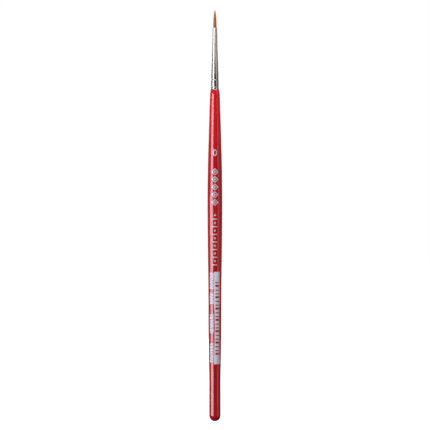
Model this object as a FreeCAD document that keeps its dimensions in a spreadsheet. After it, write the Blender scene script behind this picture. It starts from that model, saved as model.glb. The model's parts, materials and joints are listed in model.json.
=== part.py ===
import FreeCAD, Part
import os
import re

# A fine detail brush: a lacquered wooden handle, a plated brass ferrule crimped onto the handle's
# tenon, and a pointed round tuft of filaments glued into the ferrule.
# Millimetres.  The brush's axis is +Z with the tuft at the top, the origin is the end of the butt,
# and the printed side of the handle faces -Y.  Every piece is round about the axis but the prints.

# Driving dimensions: name, value, meaning.  A "share" is a fraction that shapes a smooth curve
# between two sizes that are set by themselves.
SIZES = [
    ("handle_length", 139.0, "butt end to the shoulder that the ferrule seats on"),
    ("butt_radius", 2.43, "round butt end and the straight shank above it"),
    ("shank_end", 11.0, "height at which the straight shank ends"),
    ("belly_height", 92.0, "height of the thickest place"),
    ("belly_radius", 3.145, "radius at the thickest place"),
    ("neck_drop", 2.6, "neck, below the shoulder"),
    ("neck_radius", 2.095, "radius at the neck"),
    ("shoulder_radius", 1.82, "radius of the lacquered shoulder at the ferrule"),
    ("shoulder_1_swell", 0.89, "share of the shoulder's drop left, a third of the way up from the neck"),
    ("shoulder_2_swell", 0.57, "share of the shoulder's drop left, two thirds of the way up"),
    ("lower_1_swell", 0.325, "share of the swell from shank to belly, a quarter of the way up"),
    ("lower_2_swell", 0.515, "share of the swell from shank to belly, half the way up"),
    ("lower_3_swell", 0.775, "share of the swell from shank to belly, three quarters of the way up"),
    ("upper_1_swell", 0.84, "share of the swell from neck to belly, a third of the way up"),
    ("upper_2_swell", 0.455, "share of the swell from neck to belly, two thirds of the way up"),
    ("lacquer_thickness", 0.17, "lacquer on the wood"),
    ("print_thickness", 0.05, "foil prints on the lacquer"),
    ("ferrule_length", 26.2, "shoulder of the handle to the ferrule's mouth"),
    ("ferrule_base_radius", 1.655, "outside of the ferrule just above its flare"),
    ("ferrule_mouth_radius", 0.94, "outside of the ferrule at its mouth"),
    ("ferrule_wall", 0.12, "wall of the drawn tube"),
    ("ferrule_1_at", 0.115, "share of the run from base to mouth"),
    ("ferrule_1_swell", 0.888, "share of the taper from mouth to base"),
    ("ferrule_2_at", 0.305, "share of the run from base to mouth"),
    ("ferrule_2_swell", 0.715, "share of the taper from mouth to base"),
    ("ferrule_3_at", 0.5, "share of the run from base to mouth"),
    ("ferrule_3_swell", 0.455, "share of the taper from mouth to base"),
    ("ferrule_4_at", 0.75, "share of the run from base to mouth"),
    ("ferrule_4_swell", 0.165, "share of the taper from mouth to base"),
    ("flare_height", 0.5, "flared rim at the ferrule's base"),
    ("flare_width", 0.11, "how far the flared rim stands out"),
    ("lip_round", 0.04, "rounding of the ferrule's mouth, outside and inside"),
    ("crimp_1_height", 1.55, "lower crimp, above the ferrule's base"),
    ("crimp_2_height", 4.6, "upper crimp, above the ferrule's base"),
    ("crimp_depth", 0.11, "depth of a crimp"),
    ("crimp_width", 0.8, "width of a crimp at the surface"),
    ("tenon_length", 12.0, "wooden tenon inside the ferrule"),
    ("glue_gap", 0.04, "glue between the tenon and the ferrule"),
    ("air_gap", 2.0, "empty space between the tenon and the resin plug"),
    ("plug_length", 5.5, "resin plug that holds the filaments"),
    ("plug_cover", 0.6, "resin below the ends of the filaments"),
    ("thread_radius", 0.05, "binding thread"),
    ("thread_rise", 1.2, "lowest turn of the thread, above the ends of the filaments"),
    ("thread_pitch", 0.085, "turn to turn along the axis"),
    ("tuft_radius", 0.795, "bundle of filaments in the ferrule's mouth"),
    ("tuft_length", 7.55, "tuft out of the ferrule"),
    ("tuft_tip_radius", 0.03, "the very tip"),
    ("bend_1_height", 0.45, "first place where the tuft bends, above the mouth"),
    ("bend_gap", 0.03, "room between the two faces at each bend"),
    ("tuft_2_swell", 0.917, "share of the tuft's radius at the second bend"),
    ("tuft_3_swell", 0.820, "share of the tuft's radius at the third bend"),
    ("tuft_4_swell", 0.565, "share of the tuft's radius at the fourth bend"),
    ("tuft_taper_at", 0.52, "share of the last stretch at which the tip's taper is set"),
    ("tuft_taper_swell", 0.335, "share of the tuft's radius there"),
    ("numeral_height", 112.7, "middle of the printed size number, a nought"),
    ("numeral_rise", 1.44, "half its height"),
    ("numeral_width", 0.84, "half its width"),
    ("numeral_stroke", 0.4, "width of its line"),
    ("lozenge_height", 91.9, "middle of the lowest lozenge in the printed row"),
    ("lozenge_pitch", 3.2, "lozenge to lozenge"),
    ("lozenge_reach", 1.45, "middle to corner of a lozenge"),
    ("lozenge_stroke", 0.34, "width of its line"),
    ("lozenge_pip", 0.48, "middle to corner of the small filled lozenge inside it"),
    ("bead_height", 65.7, "lowest mark in the row of fine marks"),
    ("bead_pitch", 1.6, "mark to mark"),
    ("bead_reach", 0.5, "middle to corner of a small lozenge in that row"),
    ("bead_bar_width", 1.9, "length of a short bar in that row"),
    ("bead_bar_rise", 0.4, "width of a short bar in that row"),
    ("panel_bottom", 24.1, "lower edge of the printed panel"),
    ("panel_rise", 38.7, "height of the printed panel"),
    ("panel_left", -0.34, "left edge of the printed panel"),
    ("panel_width", 2.34, "width of the printed panel"),
    ("stripe_bottom", 28.0, "lowest bare stripe in the panel"),
    ("stripe_pitch", 1.58, "stripe to stripe"),
    ("stripe_rise", 0.42, "width of a narrow stripe"),
    ("stripe_left", 0.22, "left end of the stripes"),
    ("stripe_width", 1.5, "length of the stripes"),
    ("block_left", -2.05, "left edge of the column of small blocks"),
    ("block_width", 1.6, "width of the small blocks"),
    ("block_pitch", 1.05, "block to block"),
    ("block_rise", 0.68, "height of a small block"),
    ("block_group_1", 24.9, "lower edge of the lowest group of blocks"),
    ("block_group_2", 37.1, "lower edge of the second group"),
    ("block_group_3", 49.3, "lower edge of the third group"),
    ("block_group_4", 55.6, "lower edge of the highest group"),
]

THREAD_TURNS = 6
LOZENGES = 5
BEADS = 14
STRIPES = 20
WIDE_STRIPE_EVERY = 3  # every third stripe is twice as wide as the others
BLOCKS_IN_GROUP = {1: 8, 2: 8, 3: 5, 4: 7}

BUTT_CENTRE = "butt_radius"
NECK = "(handle_length - neck_drop)"
SEAT = "handle_length"
MOUTH = "(handle_length + ferrule_length)"
TENON_TOP = "(handle_length + tenon_length)"
PLUG_BOTTOM = "(handle_length + tenon_length + air_gap)"
ROOT_BOTTOM = "(handle_length + tenon_length + air_gap + plug_cover)"
BEND_STEP = "((tuft_length - bend_1_height) / 4)"
CRIMP_ROUND = "((crimp_width * crimp_width / 4 + crimp_depth * crimp_depth) / (2 * crimp_depth))"
FERRULE_TAPER = "(ferrule_base_radius - ferrule_mouth_radius)"
FERRULE_SLOPE = f"((1 - ferrule_1_swell) * {FERRULE_TAPER} / (ferrule_1_at * ferrule_length))"

doc = FreeCAD.newDocument("detail_brush")
sheet = doc.addObject("Spreadsheet::Sheet", "Sizes")
for row, (alias, value, meaning) in enumerate(SIZES, start=1):
    sheet.set(f"A{row}", meaning)
    sheet.set(f"B{row}", str(value))
    sheet.setAlias(f"B{row}", alias)
doc.recompute()
ALIASES = {alias for alias, value, meaning in SIZES}
parts = []


def bind(item, prop, formula):
    """Bind a property to a formula written with the sheet's aliases."""
    words = re.split(r"(\w+)", formula)
    item.setExpression(prop, "".join("Sizes." + word if word in ALIASES else word for word in words))


def primitive(kind, name, height, **sizes):
    """A Part primitive on the brush's axis at a height, with its sizes bound to formulas."""
    item = doc.addObject("Part::" + kind, name)
    for prop, formula in sizes.items():
        bind(item, prop, formula)
    bind(item, "Placement.Base.z", height)
    return item


def slab(name, bottom, top):
    """A disc wider than any piece, used to keep what lies between two heights."""
    return primitive("Cylinder", name, bottom, Radius="4 * belly_radius", Height=f"{top} - {bottom}")


def loft(name, stations, offset="0"):
    """A smooth solid of revolution through circles, each a height and a radius, grown by offset."""
    rings = []
    for number, (height, radius) in enumerate(stations, start=1):
        rings.append(primitive("Circle", f"{name}_ring_{number}", height, Radius=f"{radius} + ({offset})"))
    item = doc.addObject("Part::Loft", name)
    item.Sections = rings
    item.Solid = True
    return item


def cut(name, base, tool):
    item = doc.addObject("Part::Cut", name)
    item.Base = base
    item.Tool = tool
    return item


def common(name, base, tool):
    item = doc.addObject("Part::Common", name)
    item.Base = base
    item.Tool = tool
    return item


def fuse(name, shapes):
    item = doc.addObject("Part::MultiFuse", name)
    item.Shapes = shapes
    return item


def sub_part(item, node):
    """Mark an object as a piece of the brush: its Label names the piece and its file."""
    item.Label = node
    parts.append(item)
    return item


def flank_stations():
    """Outside of the lacquered handle from the end of the straight shank, over the belly, to the neck."""
    stations = [("shank_end", "butt_radius")]
    for k in (1, 2, 3):
        height = f"shank_end + {k} / 4 * (belly_height - shank_end)"
        stations.append((height, f"butt_radius + lower_{k}_swell * (belly_radius - butt_radius)"))
    stations.append(("belly_height", "belly_radius"))
    for k in (1, 2):
        height = f"belly_height + {k} / 3 * ({NECK} - belly_height)"
        stations.append((height, f"neck_radius + upper_{k}_swell * (belly_radius - neck_radius)"))
    stations.append((NECK, "neck_radius"))
    return stations


def shoulder_stations():
    """Outside of the rounded shoulder, from the neck to the ferrule."""
    stations = [(NECK, "neck_radius")]
    for k in (1, 2):
        radius = f"shoulder_radius + shoulder_{k}_swell * (neck_radius - shoulder_radius)"
        stations.append((f"{NECK} + {k} / 3 * neck_drop", radius))
    stations.append((SEAT, "shoulder_radius"))
    return stations


def handle_blank(name, offset):
    """The whole handle up to its shoulder, grown or shrunk evenly by offset."""
    radius = f"butt_radius + ({offset})"
    butt = primitive("Sphere", name + "_butt", BUTT_CENTRE, Radius=radius)
    straight = "shank_end - butt_radius"
    shank = primitive("Cylinder", name + "_shank", BUTT_CENTRE, Radius=radius, Height=straight)
    flank = loft(name + "_flank", flank_stations(), offset)
    shoulder = loft(name + "_shoulder", shoulder_stations(), offset)
    return fuse(name, [butt, shank, flank, shoulder])


def ferrule_stations():
    """Outside of the ferrule from its base to its mouth, without the flare and the crimps."""
    stations = [(SEAT, "ferrule_base_radius")]
    for k in (1, 2, 3, 4):
        radius = f"ferrule_mouth_radius + ferrule_{k}_swell * {FERRULE_TAPER}"
        stations.append((f"{SEAT} + ferrule_{k}_at * ferrule_length", radius))
    stations.append((MOUTH, "ferrule_mouth_radius"))
    return stations


def crimp_rings(name, depth_offset):
    """Two rings whose circles press the crimps into the tube, each grown inwards by depth_offset."""
    rings = []
    for k in (1, 2):
        surface = f"ferrule_base_radius - crimp_{k}_height * {FERRULE_SLOPE}"
        rings.append(
            primitive(
                "Torus",
                f"{name}_{k}",
                f"{SEAT} + crimp_{k}_height",
                Radius1=f"{surface} + {CRIMP_ROUND} - crimp_depth",
                Radius2=f"{CRIMP_ROUND} + ({depth_offset})",
            )
        )
    return fuse(name, rings)


def ferrule_bore(name, offset):
    """The inside of the ferrule with its two pressed-in beads, shrunk by offset."""
    depth = f"ferrule_wall + ({offset})"
    inside = loft(name + "_plain", ferrule_stations(), f"-({depth})")
    return cut(name, inside, crimp_rings(name + "_beads", depth))


def ferrule():
    """Plated brass tube, flared at its base, crimped twice and rounded at its mouth."""
    outside = loft("ferrule_outside", ferrule_stations())
    flare = primitive(
        "Cone",
        "ferrule_flare",
        SEAT,
        Radius1="ferrule_base_radius + flare_width",
        Radius2=f"ferrule_base_radius - flare_height * {FERRULE_SLOPE}",
        Height="flare_height",
    )
    blank = cut("ferrule_blank", fuse("ferrule_flared", [outside, flare]), crimp_rings("crimps", "0"))
    tube = cut("ferrule_tube", blank, ferrule_bore("ferrule_inside", "0"))
    doc.recompute()
    mouth = sheet.handle_length + sheet.ferrule_length
    lip_edges = []
    for number, edge in enumerate(tube.Shape.Edges, start=1):
        if edge.Closed and abs(edge.BoundBox.ZMin - mouth) < 1e-6 and edge.BoundBox.ZLength < 1e-6:
            lip_edges.append((number, sheet.lip_round, sheet.lip_round))
    item = doc.addObject("Part::Fillet", "ferrule_rounded")
    item.Base = tube
    item.Edges = lip_edges
    return sub_part(item, "ferrule")


def tenon(name):
    """The handle's round tenon, which leaves room for the glue all round."""
    reach = slab(name + "_reach", SEAT, TENON_TOP)
    return common(name, ferrule_bore(name + "_body", "glue_gap"), reach)


def handle_core():
    """Turned wooden handle with its tenon."""
    blank = handle_blank("core_blank", "-lacquer_thickness")
    return sub_part(fuse("core", [blank, tenon("core_tenon")]), "handle_core")


def lacquer_coat():
    """Lacquer skin over the whole handle up to the ferrule."""
    outside = handle_blank("lacquer_outside", "0")
    inside = handle_blank("lacquer_inside", "-lacquer_thickness")
    return sub_part(cut("lacquer", outside, inside), "lacquer_coat")


def tenon_glue():
    """Film of glue between the tenon and the ferrule."""
    space = common("glue_space", ferrule_bore("glue_outside", "0"), slab("glue_reach", SEAT, TENON_TOP))
    return sub_part(cut("glue", space, tenon("glue_tenon")), "tenon_glue")


def root_bundle(name):
    """The straight bundle of filaments from its glued end to the first bend."""
    top = f"{MOUTH} + bend_1_height"
    return primitive("Cylinder", name, ROOT_BOTTOM, Radius="tuft_radius", Height=f"{top} - {ROOT_BOTTOM}")


def thread_turns(name):
    """Thread wound round the bundle, its turns pressed together, with a knot at the top turn."""
    turns = []
    for k in range(THREAD_TURNS):
        height = f"{ROOT_BOTTOM} + thread_rise + {k} * thread_pitch"
        reach = "tuft_radius + thread_radius"
        turns.append(primitive("Torus", f"{name}_{k}", height, Radius1=reach, Radius2="thread_radius"))
    top = f"{ROOT_BOTTOM} + thread_rise + {THREAD_TURNS - 1} * thread_pitch"
    knot = primitive("Sphere", name + "_knot", top, Radius="1.3 * thread_radius")
    bind(knot, "Placement.Base.y", "tuft_radius + 1.3 * thread_radius")
    return fuse(name, turns + [knot])


def binding_thread():
    return sub_part(thread_turns("thread"), "binding_thread")


def resin_plug():
    """Resin cast round the glued ends of the filaments, filling the ferrule there."""
    space = common(
        "plug_space",
        ferrule_bore("plug_outside", "0"),
        slab("plug_reach", PLUG_BOTTOM, f"({PLUG_BOTTOM} + plug_length)"),
    )
    wound = primitive(
        "Cylinder",
        "plug_thread_bed",
        f"{ROOT_BOTTOM} + thread_rise",
        Radius="tuft_radius + thread_radius",
        Height=f"{THREAD_TURNS - 1} * thread_pitch",
    )
    filled = fuse("plug_filling", [root_bundle("plug_root"), thread_turns("plug_thread"), wound])
    return sub_part(cut("plug", space, filled), "resin_plug")


def bend_height(k):
    """Height of the tuft's bend number k, counted from 1."""
    return f"({MOUTH} + bend_1_height + {k - 1} * {BEND_STEP})"


def bend_radius(k):
    """Radius of the tuft at its bend number k."""
    return "tuft_radius" if k == 1 else f"tuft_{k}_swell * tuft_radius"


def bend_ball(name, k, gap):
    """Ball centred on a bend, which both faces there follow, so that one can turn in the other."""
    return primitive("Sphere", name, bend_height(k), Radius=f"{bend_radius(k)} + ({gap})")


def tuft_stations():
    """Outside of the tuft from the first bend to the tip."""
    stations = [(bend_height(k), bend_radius(k)) for k in (1, 2, 3, 4)]
    stations.append((f"{bend_height(4)} + tuft_taper_at * {BEND_STEP}", "tuft_taper_swell * tuft_radius"))
    stations.append((f"({MOUTH} + tuft_length)", "tuft_tip_radius"))
    return stations


def tuft_root():
    """The part of the bundle that stays fixed: glued in, and up to the first bend."""
    cup = bend_ball("root_cup", 1, "bend_gap")
    return sub_part(cut("root", root_bundle("root_bundle"), cup), "tuft_root")


def tuft_stretch(k, node):
    """One stretch of the tuft, from bend k to the next: a round foot, and a cup for what follows."""
    name = f"tuft_{k}"
    reach = slab(name + "_reach", bend_height(k), bend_height(k + 1))
    body = common(name + "_body", loft(name + "_taper", tuft_stations()), reach)
    foot = bend_ball(name + "_foot", k, "0")
    foot.Angle2 = 0
    stretch = fuse(name + "_footed", [body, foot])
    if k < 4:
        stretch = cut(name + "_cupped", stretch, bend_ball(name + "_cup", k + 1, "bend_gap"))
    return sub_part(stretch, node)


def print_film(name):
    """The thin layer on the lacquer that every print is cut from."""
    outside = handle_blank(name + "_outside", "print_thickness")
    return cut(name, outside, handle_blank(name + "_inside", "0"))


def front_box(name, left, width, bottom, rise):
    """A bar that crosses the front of the handle, seen as a rectangle from the front."""
    item = doc.addObject("Part::Box", name)
    bind(item, "Length", width)
    bind(item, "Width", "2 * belly_radius")
    bind(item, "Height", rise)
    bind(item, "Placement.Base.x", left)
    bind(item, "Placement.Base.y", "-2 * belly_radius")
    bind(item, "Placement.Base.z", bottom)
    return item


def facing_front(item, height):
    """Turn a piece drawn along +Z to run from the axis out through the front of the handle."""
    item.Placement = FreeCAD.Placement(FreeCAD.Vector(), FreeCAD.Rotation(FreeCAD.Vector(1, 0, 0), 90))
    bind(item, "Placement.Base.z", height)
    return item


def front_lozenge(name, reach, height):
    """A square bar standing on its corner, seen as a lozenge from the front."""
    item = doc.addObject("Part::Prism", name)
    item.Polygon = 4
    bind(item, "Circumradius", reach)
    bind(item, "Height", "2 * belly_radius")
    return facing_front(item, height)


def front_oval(name, half_rise, half_width, height):
    """An upright oval bar."""
    outline = doc.addObject("Part::Ellipse", name + "_outline")
    bind(outline, "MajorRadius", half_rise)
    bind(outline, "MinorRadius", half_width)
    upright = FreeCAD.Rotation(FreeCAD.Vector(1, 0, 0), 90) * FreeCAD.Rotation(FreeCAD.Vector(0, 0, 1), 90)
    outline.Placement = FreeCAD.Placement(FreeCAD.Vector(), upright)
    bind(outline, "Placement.Base.z", height)
    item = doc.addObject("Part::Extrusion", name)
    item.Base = outline
    item.DirMode = "Custom"
    item.Dir = FreeCAD.Vector(0, -1, 0)
    item.Solid = True
    bind(item, "LengthFwd", "2 * belly_radius")
    return item


def size_numeral():
    """The size number, a nought."""
    outer = front_oval("numeral_outer", "numeral_rise", "numeral_width", "numeral_height")
    inner = front_oval(
        "numeral_inner", "numeral_rise - numeral_stroke", "numeral_width - numeral_stroke", "numeral_height"
    )
    ring = cut("numeral_ring", outer, inner)
    return sub_part(common("numeral", print_film("numeral_film"), ring), "size_numeral")


def lozenge_row():
    """A column of open lozenges with a small filled lozenge in each."""
    shapes = []
    for k in range(LOZENGES):
        height = f"lozenge_height + {k} * lozenge_pitch"
        outer = front_lozenge(f"lozenge_outer_{k}", "lozenge_reach", height)
        inner = front_lozenge(f"lozenge_inner_{k}", "lozenge_reach - 1.4142 * lozenge_stroke", height)
        shapes.append(cut(f"lozenge_{k}", outer, inner))
        shapes.append(front_lozenge(f"lozenge_pip_{k}", "lozenge_pip", height))
    bars = fuse("lozenge_bars", shapes)
    return sub_part(common("lozenges", print_film("lozenge_film"), bars), "lozenge_row")


def bead_row():
    """A finer column in which short bars and small lozenges take turns."""
    shapes = []
    for k in range(BEADS):
        height = f"bead_height + {k} * bead_pitch"
        if k % 2:
            shapes.append(front_lozenge(f"bead_{k}", "bead_reach", height))
        else:
            left, bottom = "-bead_bar_width / 2", f"{height} - bead_bar_rise / 2"
            shapes.append(front_box(f"bead_{k}", left, "bead_bar_width", bottom, "bead_bar_rise"))
    return sub_part(common("beads", print_film("bead_film"), fuse("bead_bars", shapes)), "bead_row")


def striped_panel():
    """A printed panel in which plain cross stripes are left bare."""
    panel = front_box("panel_sheet", "panel_left", "panel_width", "panel_bottom", "panel_rise")
    stripes = []
    for k in range(STRIPES):
        rise = "2 * stripe_rise" if k % WIDE_STRIPE_EVERY == 0 else "stripe_rise"
        bottom = f"stripe_bottom + {k} * stripe_pitch"
        stripes.append(front_box(f"stripe_{k}", "stripe_left", "stripe_width", bottom, rise))
    printed = cut("panel_windows", panel, fuse("stripes", stripes))
    return sub_part(common("panel", print_film("panel_film"), printed), "striped_panel")


def block_column():
    """A column of small plain blocks beside the panel, in four groups."""
    blocks = []
    for group, count in BLOCKS_IN_GROUP.items():
        for k in range(count):
            bottom = f"block_group_{group} + {k} * block_pitch"
            name = f"block_{group}_{k}"
            blocks.append(front_box(name, "block_left", "block_width", bottom, "block_rise"))
    return sub_part(common("blocks", print_film("block_film"), fuse("block_bars", blocks)), "block_column")


handle_core()
lacquer_coat()
ferrule()
tenon_glue()
binding_thread()
resin_plug()
tuft_root()
tuft_stretch(1, "tuft_base")
tuft_stretch(2, "tuft_belly")
tuft_stretch(3, "tuft_shoulder")
tuft_stretch(4, "tuft_tip")
size_numeral()
lozenge_row()
bead_row()
striped_panel()
block_column()
doc.recompute()

for item in doc.Objects:
    if "Invalid" in item.State or "Error" in item.State:
        raise RuntimeError(f"{item.Name} is {item.State}")
for item in parts:
    if item.Shape.isNull() or not item.Shape.isValid() or not item.Shape.Solids:
        raise RuntimeError(f"{item.Label} has no valid solid")

os.makedirs("parts", exist_ok=True)
for item in parts:
    item.Shape.exportStep(f"parts/{item.Label}.step")
    print(f"{item.Label}: {len(item.Shape.Solids)} solid(s), {item.Shape.Volume:.4f} mm3")
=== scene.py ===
import json
import math
import random
from collections import namedtuple

import bmesh
import bpy
import numpy as np
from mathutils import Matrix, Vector

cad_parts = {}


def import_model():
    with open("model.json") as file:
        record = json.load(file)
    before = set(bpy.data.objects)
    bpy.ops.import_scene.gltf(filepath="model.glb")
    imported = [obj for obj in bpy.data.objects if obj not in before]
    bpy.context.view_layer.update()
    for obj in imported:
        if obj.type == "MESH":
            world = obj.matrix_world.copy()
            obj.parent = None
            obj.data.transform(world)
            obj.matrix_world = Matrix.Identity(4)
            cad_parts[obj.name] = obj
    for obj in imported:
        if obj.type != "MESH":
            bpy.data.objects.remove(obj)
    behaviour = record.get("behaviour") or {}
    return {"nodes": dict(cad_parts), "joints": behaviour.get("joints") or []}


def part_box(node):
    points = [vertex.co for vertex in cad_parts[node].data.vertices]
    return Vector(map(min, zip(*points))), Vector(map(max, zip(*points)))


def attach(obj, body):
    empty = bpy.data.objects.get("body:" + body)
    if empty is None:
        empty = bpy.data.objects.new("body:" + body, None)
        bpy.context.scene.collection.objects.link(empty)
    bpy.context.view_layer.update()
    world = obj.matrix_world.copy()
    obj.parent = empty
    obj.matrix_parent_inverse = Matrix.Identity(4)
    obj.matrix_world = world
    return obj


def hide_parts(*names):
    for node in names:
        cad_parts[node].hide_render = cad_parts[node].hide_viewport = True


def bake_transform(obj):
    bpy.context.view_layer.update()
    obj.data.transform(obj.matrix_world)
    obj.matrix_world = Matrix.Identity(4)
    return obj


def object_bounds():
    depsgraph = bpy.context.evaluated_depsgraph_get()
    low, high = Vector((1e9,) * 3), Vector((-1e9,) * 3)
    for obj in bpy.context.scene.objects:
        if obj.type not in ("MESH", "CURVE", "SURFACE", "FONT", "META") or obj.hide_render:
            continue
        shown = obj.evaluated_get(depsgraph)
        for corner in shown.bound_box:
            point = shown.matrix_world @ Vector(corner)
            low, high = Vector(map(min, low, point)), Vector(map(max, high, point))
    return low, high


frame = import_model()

MM = 0.001
PHOTO_PIXELS = 430
PIXEL = 0.42 * MM                   # size of one pixel of the photograph at the brush
GOLDEN_ANGLE = math.pi * (3 - math.sqrt(5))
cad_box = [list(corner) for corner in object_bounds()]
random.seed(7)


# ---------------------------------------------------------------- sizes read from the frame

def outline(node, bottom=-1.0):
    """Heights and radii of a round CAD node's outer surface above a height, from the butt upwards."""
    mesh = frame["nodes"][node].data
    found = {}
    for face in mesh.polygons:
        out = Vector((face.center.x, face.center.y, 0))
        if out.length < 1e-6 or face.normal.dot(out.normalized()) < 0.05:
            continue
        for index in face.vertices:
            point = mesh.vertices[index].co
            if point.z > bottom:
                found.setdefault(round(point.z / (0.01 * MM)), []).append(math.hypot(point.x, point.y))
    heights = np.array(sorted(found))
    radii = np.array([max(found[height]) for height in heights])
    return heights * 0.01 * MM, radii


def evened(heights, radii, at, reach):
    """Radii at the asked heights: the outline, evened out over a short reach along the axis."""
    offsets = np.linspace(-reach, reach, 9)
    weights = np.cos(offsets / reach * math.pi / 2) ** 2 + 1e-3
    total = sum(w * np.interp(at + offset, heights, radii) for w, offset in zip(weights, offsets))
    return total / weights.sum()


coat_z, coat_r = outline("lacquer_coat")
seat = coat_z[-1]                                   # where the ferrule stands on the lacquer
half_width = min(abs(x) for x in (cad_box[0][0], cad_box[1][0]))
coat_fit = half_width / coat_r.max()                # keeps the drawn skin inside the CAD's box
butt_radius = float(np.interp(5 * MM, coat_z, coat_r)) * coat_fit
coat_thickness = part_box("handle_core")[0].z
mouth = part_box("ferrule")[1].z
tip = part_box("tuft_tip")[1].z
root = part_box("tuft_root")[0].z
bends = [joint["pos_m"][2] for joint in frame["joints"]]


def skin_profile():
    """Heights and radii of the lacquer skin above the round butt, evened out but for its shoulder."""
    shank_top, shoulder_height, reach, rows = 9.5 * MM, 3.2 * MM, 1.2 * MM, 340
    heights = np.linspace(butt_radius, seat, rows)
    radii = evened(coat_z, coat_r, heights, reach)
    radii[heights < shank_top] = butt_radius / coat_fit
    shoulder = seat - heights < shoulder_height
    radii[shoulder] = np.interp(heights[shoulder], coat_z, coat_r)
    return heights, radii * coat_fit


skin_z, skin_r = skin_profile()


def handle_radius(height):
    """Outer radius of the lacquered handle at a height above the round butt."""
    return float(np.interp(height, skin_z, skin_r))


# ---------------------------------------------------------------- mesh helpers

def mesh_object(name, bm, smooth_angle=35):
    """A scene object from a bmesh, shaded smooth but for its sharp edges."""
    mesh = bpy.data.meshes.new(name)
    bmesh.ops.recalc_face_normals(bm, faces=bm.faces)
    bm.to_mesh(mesh)
    bm.free()
    mesh.shade_smooth()
    mesh.set_sharp_from_angle(angle=math.radians(smooth_angle))
    item = bpy.data.objects.new(name, mesh)
    bpy.context.scene.collection.objects.link(item)
    return item


def lathe(name, profile, sides, closed=True):
    """A round solid from a closed profile of radii and heights.  Points on the axis become one point."""
    bm = bmesh.new()
    rings = []
    for radius, height in profile:
        if radius < 1e-7:
            rings.append([bm.verts.new((0, 0, height))])
            continue
        ring = []
        for side in range(sides):
            angle = 2 * math.pi * side / sides
            ring.append(bm.verts.new((radius * math.cos(angle), radius * math.sin(angle), height)))
        rings.append(ring)
    pairs = list(zip(rings, rings[1:]))
    if closed and len(rings[0]) > 1:
        pairs.append((rings[-1], rings[0]))
    for low, high in pairs:
        for side in range(sides):
            corners = [low[side % len(low)], low[(side + 1) % len(low)]]
            corners += [high[(side + 1) % len(high)], high[side % len(high)]]
            distinct = list(dict.fromkeys(corners))
            if len(distinct) > 2:
                bm.faces.new(distinct)
    return mesh_object(name, bm)


# ---------------------------------------------------------------- materials

class Nodes:
    """A small helper that adds and links nodes in one material."""

    def __init__(self, name, rest=False):
        self.rest = rest
        self.material = bpy.data.materials.new(name)
        self.material.use_nodes = True
        self.tree = self.material.node_tree
        self.shader = self.tree.nodes["Principled BSDF"]

    def add(self, kind, inputs=None, **settings):
        node = self.tree.nodes.new("ShaderNode" + kind)
        for key, value in settings.items():
            setattr(node, key, value)
        for key, value in (inputs or {}).items():
            self.feed(node, key, value)
        return node

    def feed(self, node, key, value):
        """Set an input, or link it when the value is another node's output."""
        if isinstance(value, bpy.types.NodeSocket):
            self.tree.links.new(value, node.inputs[key])
        else:
            node.inputs[key].default_value = value

    def shade(self, **inputs):
        for key, value in inputs.items():
            self.feed(self.shader, key.replace("_", " "), value)

    def place(self, stretch=(1, 1, 1)):
        """Coordinates in millimetres, scaled along each axis.

        They are the object's own, or on a bending piece the stored ones from before it bends.
        """
        if self.rest:
            coordinates = self.add("Attribute", attribute_name="rest_place").outputs["Vector"]
        else:
            coordinates = self.add("TexCoord").outputs["Object"]
        scale = [1000 * s for s in stretch]
        return self.add("Mapping", {"Vector": coordinates, "Scale": scale}).outputs["Vector"]

    def noise(self, scale, detail=4.0, roughness=0.55, stretch=(1, 1, 1)):
        inputs = {"Vector": self.place(stretch), "Scale": scale, "Detail": detail, "Roughness": roughness}
        return self.add("TexNoise", inputs).outputs["Fac"]

    def span(self, value, low, high, start=0.0, end=1.0):
        """Map a value between start and end to a number between low and high."""
        inputs = {"Value": value, "From Min": start, "From Max": end, "To Min": low, "To Max": high}
        return self.add("MapRange", inputs).outputs["Result"]

    def along(self):
        """Height on the brush, in metres."""
        place = self.add("TexCoord").outputs["Object"]
        return self.add("SeparateXYZ", {"Vector": place}).outputs["Z"]

    def mix(self, share, first, second):
        """Blend two colours."""
        node = self.add("Mix", data_type="RGBA")
        for socket, value in ((0, share), (6, first), (7, second)):
            if isinstance(value, bpy.types.NodeSocket):
                self.tree.links.new(value, node.inputs[socket])
            else:
                node.inputs[socket].default_value = value
        return node.outputs[2]

    def bump(self, height, distance, strength=1.0):
        inputs = {"Height": height, "Distance": distance, "Strength": strength}
        return self.add("Bump", inputs).outputs["Normal"]


def rgb(red, green, blue):
    return (red, green, blue, 1.0)


def red_lacquer():
    """Clear coat over deep red, with painted light: the red is painted brighter on the upper handle below
    the ferrule, standing in for the stronger light that falls there.
    """
    n = Nodes("red_lacquer")
    cloud = n.noise(0.09, detail=3.0, stretch=(1, 1, 0.3))
    depth = n.span(cloud, 0.0, 1.0, 0.3, 0.7)
    # painted light: share of a brighter red over the upper handle, rising towards the ferrule, standing in
    # for light that falls there more strongly
    painted_light_share = n.span(n.along(), 0.0, 1.0, seat - 27 * MM, seat - 18 * MM)
    deep = n.mix(depth, rgb(0.45, 0.0055, 0.009), rgb(0.51, 0.0075, 0.012))
    # painted light: the brighter, lit red laid on the upper handle
    thin_ink_and_painted_lit_red = n.mix(depth, rgb(0.58, 0.0065, 0.011), rgb(0.65, 0.009, 0.014))
    colour = n.mix(painted_light_share, deep, thin_ink_and_painted_lit_red)
    specks = n.span(n.noise(5.0, detail=2.0), 0.0, 1.0, 0.74, 0.80)
    colour = n.mix(specks, colour, rgb(0.42, 0.02, 0.02))
    peel = n.noise(1.1, detail=2.0, roughness=0.4, stretch=(1, 1, 0.6))
    scratches = n.noise(3.0, detail=6.0, roughness=0.7, stretch=(1, 1, 0.12))
    rough = n.span(scratches, 0.05, 0.12, 0.35, 0.75)
    n.shade(Base_Color=colour, Roughness=n.span(scratches, 0.45, 0.6, 0.35, 0.75))
    n.shade(Specular_IOR_Level=0.0, Coat_Weight=1.0, Coat_IOR=1.55, Coat_Roughness=rough)
    n.shade(Normal=n.bump(peel, 0.0006 * MM))
    n.feed(n.shader, "Coat Normal", n.bump(peel, 0.0004 * MM))
    return n.material


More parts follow.
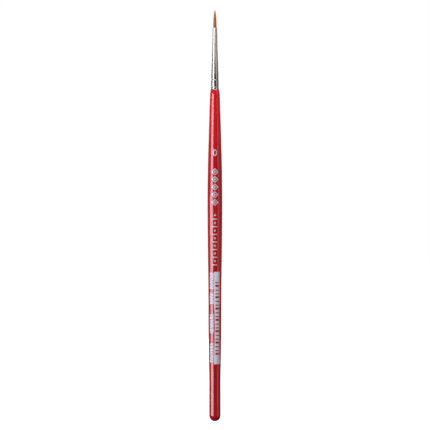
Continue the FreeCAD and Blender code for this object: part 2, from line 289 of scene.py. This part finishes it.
def nickel_plate():
    """Spun nickel-plated tube: satin along its taper, burnished bright round the crimps."""
    n = Nodes("nickel_plate")
    lines = n.noise(2.5, detail=4.0, roughness=0.6, stretch=(0.08, 0.08, 1.5))
    stain = n.span(n.noise(0.5, detail=4.0, stretch=(1, 1, 0.5)), 0.0, 1.0, 0.35, 0.7)
    satin = n.span(n.along(), 0.0, 1.0, seat + 4.8 * MM, seat + 16 * MM)
    burnished = n.mix(stain, rgb(0.46, 0.40, 0.37), rgb(0.40, 0.335, 0.31))
    drawn = n.mix(stain, rgb(0.66, 0.575, 0.535), rgb(0.60, 0.51, 0.47))
    rough = n.add("Math", {0: satin, 1: 0.16, 2: 0.20}, operation="MULTIPLY_ADD").outputs[0]
    rough = n.add("Math", {0: rough, 1: n.span(lines, -0.02, 0.03, 0.3, 0.7)}, operation="ADD").outputs[0]
    n.shade(Base_Color=n.mix(satin, burnished, drawn), Metallic=n.span(satin, 1.0, 0.76), Roughness=rough)
    n.shade(Anisotropic=0.9, Anisotropic_Rotation=0.25)
    n.shade(Tangent=n.add("Tangent", direction_type="RADIAL", axis="Z").outputs["Tangent"])
    n.shade(Normal=n.bump(lines, 0.0003 * MM, 0.5))
    return n.material


def filament():
    """Rust-orange filaments, each of its own tone, darker in places along them."""
    n = Nodes("filament", rest=True)
    tone = n.add("Attribute", attribute_name="strand_tone").outputs["Fac"]
    colour = n.mix(tone, rgb(0.46, 0.095, 0.012), rgb(0.70, 0.245, 0.045))
    along = n.noise(1.4, detail=3.0, stretch=(1, 1, 0.4))
    colour = n.mix(n.span(along, 0.0, 0.35, 0.4, 0.8), colour, rgb(0.40, 0.09, 0.015))
    streaks = n.noise(20.0, detail=2.0, stretch=(1, 1, 0.02))
    n.shade(Base_Color=colour, Roughness=n.span(streaks, 0.38, 0.55, 0.3, 0.7), IOR=1.45)
    n.shade(Normal=n.bump(streaks, 0.0015 * MM, 0.6))
    return n.material


def white_foil():
    """Silver-white hot foil, worn to the lacquer in small spots."""
    n = Nodes("white_foil")
    grain = n.noise(7.0, detail=4.0, roughness=0.65)
    worn = n.span(n.noise(2.4, detail=5.0, roughness=0.7), 0.0, 1.0, 0.60, 0.78)
    colour = n.mix(worn, rgb(0.60, 0.61, 0.65), rgb(0.52, 0.36, 0.39))
    n.shade(Base_Color=colour, Metallic=0.25, Roughness=n.span(grain, 0.32, 0.55, 0.3, 0.7))
    n.shade(Normal=n.bump(grain, 0.004 * MM, 0.6))
    return n.material


def pale_print():
    """Pale ink, thin enough in places for the red to show."""
    n = Nodes("pale_print")
    grain = n.noise(6.0, detail=5.0, roughness=0.6)
    thin_ink_and_painted_lit_red = n.span(n.noise(0.9, detail=4.0, roughness=0.6), 0.0, 0.5, 0.5, 0.8)
    colour = n.mix(thin_ink_and_painted_lit_red, rgb(0.72, 0.64, 0.72), rgb(0.66, 0.42, 0.49))
    n.shade(Base_Color=colour, Roughness=n.span(grain, 0.38, 0.60, 0.3, 0.7), IOR=1.5)
    n.shade(Normal=n.bump(grain, 0.004 * MM, 0.5))
    return n.material


def bare_wood():
    """Turned wood with long grain and dark pores."""
    n = Nodes("bare_wood")
    grain = n.noise(1.6, detail=6.0, roughness=0.6, stretch=(1, 1, 0.03))
    pores = n.span(n.noise(5.0, detail=3.0, stretch=(1, 1, 0.05)), 0.0, 1.0, 0.62, 0.72)
    colour = n.mix(grain, rgb(0.62, 0.42, 0.24), rgb(0.78, 0.60, 0.40))
    colour = n.mix(pores, colour, rgb(0.36, 0.21, 0.10))
    n.shade(Base_Color=colour, Roughness=n.span(grain, 0.55, 0.75), Normal=n.bump(grain, 0.02 * MM, 0.6))
    return n.material


def cast_resin(name, light, dark):
    """Cloudy resin or glue with small bubbles."""
    n = Nodes(name)
    cloud = n.noise(1.2, detail=3.0)
    bubbles = n.add("TexVoronoi", {"Vector": n.place(), "Scale": 6.0}).outputs["Distance"]
    n.shade(Base_Color=n.mix(cloud, light, dark), Roughness=n.span(cloud, 0.18, 0.32), IOR=1.54)
    n.shade(Normal=n.bump(n.span(bubbles, 0.0, 1.0, 0.0, 0.2), 0.004 * MM, 0.5))
    return n.material


def twisted_thread():
    """Pale thread with the slant of its plies."""
    n = Nodes("twisted_thread")
    inputs = {"Vector": n.place(), "Scale": 9.0, "Distortion": 1.5}
    plies = n.add("TexWave", inputs, bands_direction="DIAGONAL").outputs["Fac"]
    colour = n.mix(plies, rgb(0.62, 0.58, 0.50), rgb(0.86, 0.83, 0.76))
    n.shade(Base_Color=colour, Roughness=0.8, Normal=n.bump(plies, 0.01 * MM, 0.8))
    return n.material


def dress(item, material):
    """Give an object one material."""
    item.data.materials.clear()
    item.data.materials.append(material)
    return item


RED_LACQUER = red_lacquer()
NICKEL_PLATE = nickel_plate()
FILAMENT = filament()
WHITE_FOIL = white_foil()
PALE_PRINT = pale_print()


# ---------------------------------------------------------------- handle and ferrule

LACQUER_SIDES = 160
FERRULE_SIDES = 128
FERRULE_WALL = 0.12 * MM


def spaced(bottom, top, step):
    """Heights from bottom to top, about a step apart."""
    return np.linspace(bottom, top, max(2, round((top - bottom) / step) + 1))


def lacquer():
    """Lacquer skin: round butt, straight shank, barrel-shaped flank and rounded shoulder."""
    turns = np.linspace(0, math.pi / 2, 28)
    outer = [(butt_radius * math.sin(a), butt_radius - butt_radius * math.cos(a)) for a in turns]
    outer += list(zip(skin_r[1:], skin_z[1:]))
    inner = [(radius - coat_thickness, height) for radius, height in zip(skin_r[::-1], skin_z[::-1])]
    core = butt_radius - coat_thickness
    inner += [(core * math.cos(a), butt_radius - core * math.sin(a)) for a in turns[1:-1]]
    inner.append((0.0, coat_thickness))
    item = lathe("lacquer_skin", outer + inner, LACQUER_SIDES, closed=False)
    dress(item, RED_LACQUER)
    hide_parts("lacquer_coat")
    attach(item, "handle")


def ferrule():
    """Ferrule tube with its flare, crimps and rounded mouth."""
    z, r = outline("ferrule")
    crimped, lip = seat + 6 * MM, mouth - 0.1 * MM
    stretches = ((seat, crimped, 0.05 * MM), (crimped, lip, 0.35 * MM), (lip, mouth, 0.01 * MM))
    heights = np.unique(np.concatenate([spaced(*stretch) for stretch in stretches]))
    radii = np.interp(heights, z, r)
    outer = list(zip(radii, heights))
    inner = [(radius - FERRULE_WALL, height) for radius, height in reversed(outer)]
    item = lathe("ferrule_tube", outer + inner, FERRULE_SIDES)
    dress(item, NICKEL_PLATE)
    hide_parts("ferrule")
    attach(item, "handle")


lacquer()
ferrule()


# ---------------------------------------------------------------- tuft

STRANDS = 260
STRAND_SIDES = 6
STRAND_SHARE = 0.052                # radius of one filament, as a share of the tuft's
THINNEST_STRAND = 0.003 * MM
STRAND_TAPER = 1.6 * MM             # stretch at its end over which a filament narrows
LAST_ROW_GAP = 0.05 * MM            # room between a filament's last ring and its point
SLACK = 0.955                       # share of the CAD's tuft that the filaments fill below the tip
LEAN = 0.12                         # most that a filament turns round the axis, in radians
ROWS_PER_STRETCH = 7

Strand = namedtuple("Strand", "share angle end lean tone")


def tuft_outline():
    """Heights and radii of the whole tuft, from the stretches above each bend."""
    heights, radii = [root, bends[0]], [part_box("tuft_root")[1].x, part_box("tuft_root")[1].x]
    tops = bends[1:] + [tip + MM]
    for node, bottom, top in zip(("tuft_base", "tuft_belly", "tuft_shoulder", "tuft_tip"), bends, tops):
        for height, radius in zip(*outline(node, bottom + 1e-6)):
            if height < top - 0.3 * MM:
                heights.append(height)
                radii.append(radius)
    return np.array(heights), np.array(radii)


tuft_z, tuft_r = tuft_outline()


def strand_paths():
    """Every filament as a place in the bundle, a height at which it ends, a lean and a tone."""
    paths = []
    for index in range(STRANDS):
        share = math.sqrt((index + 0.5) / STRANDS)
        angle = index * GOLDEN_ANGLE + random.uniform(-LEAN, LEAN)
        short = (0.01 + 0.9 * share ** 2) * random.uniform(0.1, 1.0) * MM
        lean = random.uniform(-LEAN, LEAN)
        paths.append(Strand(share, angle, tip - short, lean, random.random()))
    return paths


def strand_place(path, height):
    """Centre and radius of one filament at a height."""
    full = np.interp(height, (tip - 2.2 * MM, tip - 0.9 * MM), (SLACK, 1.0))
    wide = full * float(np.interp(height, tuft_z, tuft_r))
    left = max(0.0, min(1.0, (path.end - height) / STRAND_TAPER))
    radius = max(STRAND_SHARE * wide * (0.5 + 0.5 * math.sqrt(left)), THINNEST_STRAND)
    reach = max(wide - radius, 0.0) * path.share
    turn = path.angle + path.lean * max(0.0, (height - mouth) / (tip - mouth))
    return reach * math.cos(turn), reach * math.sin(turn), radius


def strand_piece(name, paths, heights, last=False):
    """The stretch of every filament between the first and the last of these heights."""
    bm = bmesh.new()
    tone_layer = bm.verts.layers.float.new("strand_tone")
    for path in paths:
        if path.end <= heights[0]:
            continue
        rows = [height for height in heights if height < path.end - LAST_ROW_GAP]
        pointed = path.end < heights[-1] or last
        rings = []
        for height in rows:
            x, y, radius = strand_place(path, height)
            ring = []
            for side in range(STRAND_SIDES):
                angle = 2 * math.pi * side / STRAND_SIDES
                vertex = bm.verts.new((x + radius * math.cos(angle), y + radius * math.sin(angle), height))
                vertex[tone_layer] = path.tone
                ring.append(vertex)
            rings.append(ring)
        if not rings:
            continue
        for low, high in zip(rings, rings[1:]):
            for side in range(STRAND_SIDES):
                after = (side + 1) % STRAND_SIDES
                bm.faces.new((low[side], low[after], high[after], high[side]))
        bm.faces.new(rings[0])
        if pointed:
            x, y, radius = strand_place(path, path.end)
            point = bm.verts.new((x, y, path.end))
            point[tone_layer] = path.tone
            for side in range(STRAND_SIDES):
                bm.faces.new((rings[-1][side], rings[-1][(side + 1) % STRAND_SIDES], point))
        else:
            bm.faces.new(rings[-1])
    item = mesh_object(name, bm, smooth_angle=75)
    places = [component for vertex in item.data.vertices for component in vertex.co]
    item.data.attributes.new("rest_place", "FLOAT_VECTOR", "POINT").data.foreach_set("vector", places)
    return dress(item, FILAMENT)


def tuft():
    """The filaments, in one piece for each bend.  Neighbouring pieces meet halfway between two bends."""
    paths = strand_paths()
    halfway = [(low + high) / 2 for low, high in zip(bends, bends[1:])]
    edges = [mouth - 0.4 * MM] + halfway + [2 * bends[-1] - halfway[-1]]
    names = ["strands_base", "strands_belly", "strands_shoulder", "strands_tip"]
    stood_for = [("tuft_root", "tuft_base"), ("tuft_belly",), ("tuft_shoulder",), ("tuft_tip",)]
    for k, name in enumerate(names):
        rows = list(np.linspace(edges[k], edges[k + 1], ROWS_PER_STRETCH))
        if k == 0:
            rows = [root, (root + edges[0]) / 2] + rows
        if k == 3:
            rows += list(np.linspace(edges[4], tip, ROWS_PER_STRETCH)[1:])
        item = strand_piece(name, paths, rows, last=k == 3)
        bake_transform(item)
        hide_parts(*stood_for[k])


tuft()


# ---------------------------------------------------------------- prints on the handle

FILM = 0.02 * MM                    # height of a print above the lacquer
FILM_STRIP = 0.12 * MM              # widest strip of a print that stays flat


def film(name, shapes, material, node):
    """Printed shapes, drawn flat as seen from the front and laid on the lacquer.

    Each shape is an outline and a list of holes, all as (x, z) points.
    """
    bm = bmesh.new()
    for outer, holes in shapes:
        edges = []
        for loop in [outer] + holes:
            ring = [bm.verts.new((x, 0, z)) for x, z in loop]
            edges += [bm.edges.new((a, b)) for a, b in zip(ring, ring[1:] + ring[:1])]
        bmesh.ops.triangle_fill(bm, edges=edges, use_beauty=True, normal=(0, -1, 0))
    width = max(abs(v.co.x) for v in bm.verts)
    for cut in np.arange(-width, width, FILM_STRIP):
        geometry = list(bm.verts) + list(bm.edges) + list(bm.faces)
        bmesh.ops.bisect_plane(bm, geom=geometry, plane_co=(cut, 0, 0), plane_no=(1, 0, 0))
    back = [face for face in bm.faces if face.normal.y > 0]
    bmesh.ops.reverse_faces(bm, faces=back)
    front = list(bm.faces)
    copy = bmesh.ops.duplicate(bm, geom=front + list({e for f in front for e in f.edges}))
    lower = [item for item in copy["geom"] if isinstance(item, bmesh.types.BMFace)]
    lower_verts = {v for face in lower for v in face.verts}
    pairs = copy["vert_map"]
    rims = [edge for edge in bm.edges if edge.is_boundary and edge.verts[0] not in lower_verts]
    for edge in rims:
        a, b = edge.verts
        bm.faces.new((a, b, pairs[b], pairs[a]))
    bmesh.ops.reverse_faces(bm, faces=lower)
    for vertex in bm.verts:
        lift = 0.0 if vertex in lower_verts else FILM
        radius = handle_radius(vertex.co.z) + lift
        vertex.co.y = -math.sqrt(max(radius ** 2 - vertex.co.x ** 2, 0.0))
    item = mesh_object(name, bm, smooth_angle=50)
    dress(item, material)
    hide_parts(node)
    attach(item, "handle")


def lozenge(height, reach):
    return [(reach, height), (0, height + reach), (-reach, height), (0, height - reach)]


def oval(height, half_width, half_rise, points=48):
    turns = [2 * math.pi * k / points for k in range(points)]
    return [(half_width * math.cos(turn), height + half_rise * math.sin(turn)) for turn in turns]


def bar(left, right, bottom, top):
    return [(left, bottom), (right, bottom), (right, top), (left, top)]


def numeral():
    """The size number, a nought."""
    low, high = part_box("size_numeral")
    middle, half_rise, half_width = (low.z + high.z) / 2, (high.z - low.z) / 2, high.x
    stroke = 0.35 * MM
    outer = oval(middle, half_width, half_rise)
    inner = oval(middle, half_width - stroke, half_rise - stroke)
    film("numeral_nought", [(outer, [inner])], WHITE_FOIL, "size_numeral")


def lozenges():
    """Lozenge rings, each with a small lozenge in it."""
    low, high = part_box("lozenge_row")
    reach, line, small, count = high.x, 0.48 * MM, 0.48 * MM, 5
    pitch = (high.z - low.z - 2 * reach) / (count - 1)
    shapes = []
    for k in range(count):
        height = low.z + reach + k * pitch
        shapes.append((lozenge(height, reach), [lozenge(height, reach - line)]))
        shapes.append((lozenge(height, small), []))
    film("lozenge_ornament", shapes, WHITE_FOIL, "lozenge_row")


def beads():
    """Bars and small lozenges in turn."""
    low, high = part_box("bead_row")
    count, small, half_bar = 14, 0.5 * MM, 0.2 * MM
    pitch = (high.z - small - low.z - half_bar) / (count - 1)
    shapes = []
    for k in range(count):
        height = low.z + half_bar + k * pitch
        if k % 2:
            shapes.append((lozenge(height, small), []))
        else:
            shapes.append((bar(-high.x, high.x, height - half_bar, height + half_bar), []))
    film("bead_ornament", shapes, WHITE_FOIL, "bead_row")


def panel():
    """A pale panel that plain stripes are left out of, every third one a high one."""
    low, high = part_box("striped_panel")
    left, right = low.x + 0.56 * MM, high.x - 0.28 * MM
    count, first, pitch = 20, low.z + 3.9 * MM, 1.58 * MM
    stripes = []
    for k in range(count):
        bottom = first + k * pitch
        rise = 0.94 * MM if k % 3 == 0 else 0.50 * MM
        stripes.append(bar(left, right, bottom, bottom + rise))
    sheet = bar(low.x, high.x, low.z, high.z)
    film("panel_print", [(sheet, stripes)], PALE_PRINT, "striped_panel")


def blocks():
    """Groups of three narrow lanes of dashes, each lane broken up differently."""
    low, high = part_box("block_column")
    lanes, ink, pitch, rise, shortest = 3, 0.78, 1.05, 0.68, 0.25 * MM
    lane = (high.x - low.x) / lanes
    shapes = []
    for start, count in ((24.9, 8), (37.1, 8), (49.3, 5), (55.6, 7)):
        bottom = start * MM
        top = bottom + ((count - 1) * pitch + rise) * MM
        for k in range(lanes):
            left, right = low.x + k * lane, low.x + (k + ink) * lane
            height = bottom
            while height < top - shortest:
                end = min(height + random.uniform(0.35, 1.3) * MM, top)
                shapes.append((bar(left, right, height, end), []))
                height = end + random.uniform(0.14, 0.26) * MM
    film("block_print", shapes, PALE_PRINT, "block_column")


numeral()
lozenges()
beads()
panel()
blocks()


# ---------------------------------------------------------------- CAD nodes that stay

def keep(node, material):
    """Give a CAD node that is carried over a material of its own."""
    for slot in frame["nodes"][node].material_slots:
        slot.material = material


keep("handle_core", bare_wood())
keep("tenon_glue", cast_resin("glue", rgb(0.72, 0.62, 0.40), rgb(0.60, 0.48, 0.28)))
keep("resin_plug", cast_resin("resin", rgb(0.62, 0.44, 0.20), rgb(0.42, 0.26, 0.10)))
keep("binding_thread", twisted_thread())


# ---------------------------------------------------------------- stage, light and camera

def floor():
    """Plain pale floor, left out of the brush's reflections and bounce light."""
    bm = bmesh.new()
    bmesh.ops.create_grid(bm, x_segments=1, y_segments=1, size=3.0)
    item = mesh_object("floor", bm)
    n = Nodes("pale_floor")
    n.shade(Base_Color=rgb(0.35, 0.35, 0.35), Roughness=0.9)
    n.shade(Emission_Color=rgb(1, 1, 1), Emission_Strength=1.2)
    item.data.materials.append(n.material)
    item.location.z = -0.05 * MM
    item.visible_glossy = False
    item.visible_diffuse = False


def area_light(name, azimuth, distance, width, height, brightness, colour, elevation=0, aim=tip / 2):
    """A soft box that faces a height on the brush.

    Azimuth 0 is in front of the brush and positive to the right, both angles in degrees.
    """
    data = bpy.data.lights.new(name, "AREA")
    data.shape = "RECTANGLE"
    data.size, data.size_y = width, height
    data.energy = brightness * math.pi * width * height
    data.color = colour
    item = bpy.data.objects.new(name, data)
    turn, rise = math.radians(azimuth), math.radians(elevation)
    out = Vector((math.sin(turn) * math.cos(rise), -math.cos(turn) * math.cos(rise), math.sin(rise)))
    item.location = Vector((0, 0, aim)) + out * distance
    item.rotation_euler = out.to_track_quat("Z", "Y").to_euler()
    item.visible_camera = False
    bpy.context.scene.collection.objects.link(item)


def world():
    """White behind the brush, and a dim grey room in its reflections and shadows."""
    reflected, scattered = 0.04, 0.06
    room = bpy.data.worlds.new("studio")
    bpy.context.scene.world = room
    room.use_nodes = True
    tree = room.node_tree
    background = tree.nodes["Background"]
    path = tree.nodes.new("ShaderNodeLightPath")
    dim = tree.nodes.new("ShaderNodeMath")
    dim.operation = "MULTIPLY_ADD"
    tree.links.new(path.outputs["Is Diffuse Ray"], dim.inputs[0])
    dim.inputs[1].default_value = scattered
    dim.inputs[2].default_value = reflected
    bright = tree.nodes.new("ShaderNodeMath")
    bright.operation = "MAXIMUM"
    tree.links.new(path.outputs["Is Camera Ray"], bright.inputs[0])
    tree.links.new(dim.outputs[0], bright.inputs[1])
    tree.links.new(bright.outputs[0], background.inputs["Strength"])
    background.inputs["Color"].default_value = (1, 1, 1, 1)


def camera():
    """Level with the middle of the brush, straight in front, as in the photograph."""
    data = bpy.data.cameras.new("camera")
    data.lens = 180
    data.sensor_width = 36
    item = bpy.data.objects.new("camera", data)
    frame_width = PHOTO_PIXELS * PIXEL
    distance = frame_width * data.lens / data.sensor_width
    item.location = (0.04 * MM, -distance, tip / 2 + 0.229 * MM)
    item.rotation_euler = (math.radians(90), 0, 0)
    data.clip_end = 10
    bpy.context.scene.collection.objects.link(item)
    bpy.context.scene.camera = item


floor()
area_light("key", -50, 0.45, 0.32, 0.30, 7.6, (0.80, 1.0, 1.10))
area_light("key_low", -74, 0.45, 0.11, 0.17, 6.4, (0.80, 1.0, 1.10), aim=0.02)
area_light("key_top", -14, 0.26, 0.17, 0.17, 4.2, (0.98, 1.0, 1.02), elevation=60, aim=0.115)
area_light("left_wall", -118, 0.50, 0.50, 0.50, 0.20, (1.0, 0.86, 0.80))
area_light("right_strip", 52, 0.50, 0.055, 0.50, 2.5, (1.0, 0.95, 0.84))
area_light("right_card", 70, 0.50, 0.50, 0.50, 0.44, (1.0, 0.94, 0.90))
area_light("right_high", 42, 0.50, 0.30, 0.30, 1.2, (1.0, 0.93, 0.92), elevation=42)
area_light("right_wall", 124, 0.50, 0.20, 0.50, 0.45, (1.0, 0.86, 0.80))
area_light("back", 180, 0.60, 0.30, 0.50, 3.0, (1, 1, 1))
world()
camera()
bpy.context.scene.view_settings.view_transform = "Standard"
